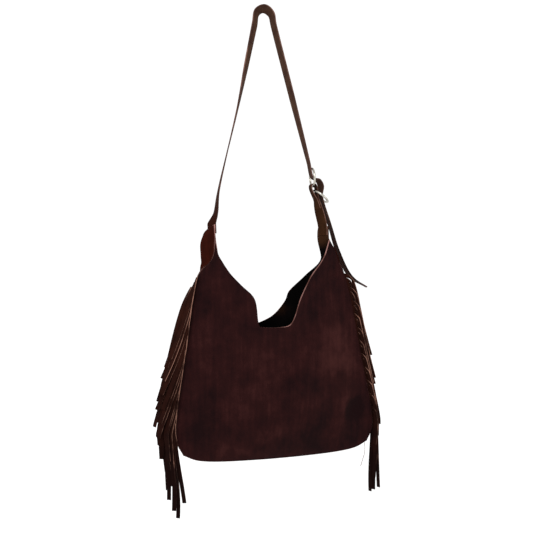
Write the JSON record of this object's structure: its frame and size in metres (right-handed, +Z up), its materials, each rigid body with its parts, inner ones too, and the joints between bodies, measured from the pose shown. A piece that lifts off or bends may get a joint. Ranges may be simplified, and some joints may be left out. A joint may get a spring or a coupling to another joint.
{
  "type": "fringed shoulder bag",
  "caption": "Slouchy suede shoulder bag with cut fringe sewn into its side seams, and a leather strap that adjusts through rings held in a folded tab.",
  "frame": {"origin": "centre of the strap's arch, on which the hung bag bears", "axes": "+Z up, +X to the bag's right as seen from the front, the front faces -Y"},
  "size_m": [0.4272, 0.0743, 0.9271],
  "materials": {
    "body_suede": "soft napped suede, dark reddish brown, rubbed lighter in places",
    "fringe_suede": "napped suede with lighter raw cut edges",
    "strap_leather": "smooth brown leather, dull, with paler raw edges",
    "ring_metal": "polished pale nickel plate",
    "sewing_thread": "fine dark sewing thread"
  },
  "bodies": {
    "bag": {"front_panel": "body_suede", "back_panel": "body_suede", "left_fringe": "fringe_suede", "right_fringe": "fringe_suede", "shoulder_strap": "strap_leather", "ring_tab": "strap_leather", "loose_thread": "sewing_thread"},
    "upper_ring": {"upper_ring": "ring_metal"},
    "lower_ring": {"lower_ring": "ring_metal"}
  },
  "joints": [
    {"name": "upper_ring_swing", "type": "hinge", "parent": "bag", "child": "upper_ring", "pos_m": [0.09603, 0, -0.31052], "axis": [0, 1, 0], "range_deg": [-1, 35]},
    {"name": "lower_ring_swing", "type": "hinge", "parent": "bag", "child": "lower_ring", "pos_m": [0.09792, 0, -0.31768], "axis": [0, 1, 0], "range_deg": [-40, 8]}
  ]
}
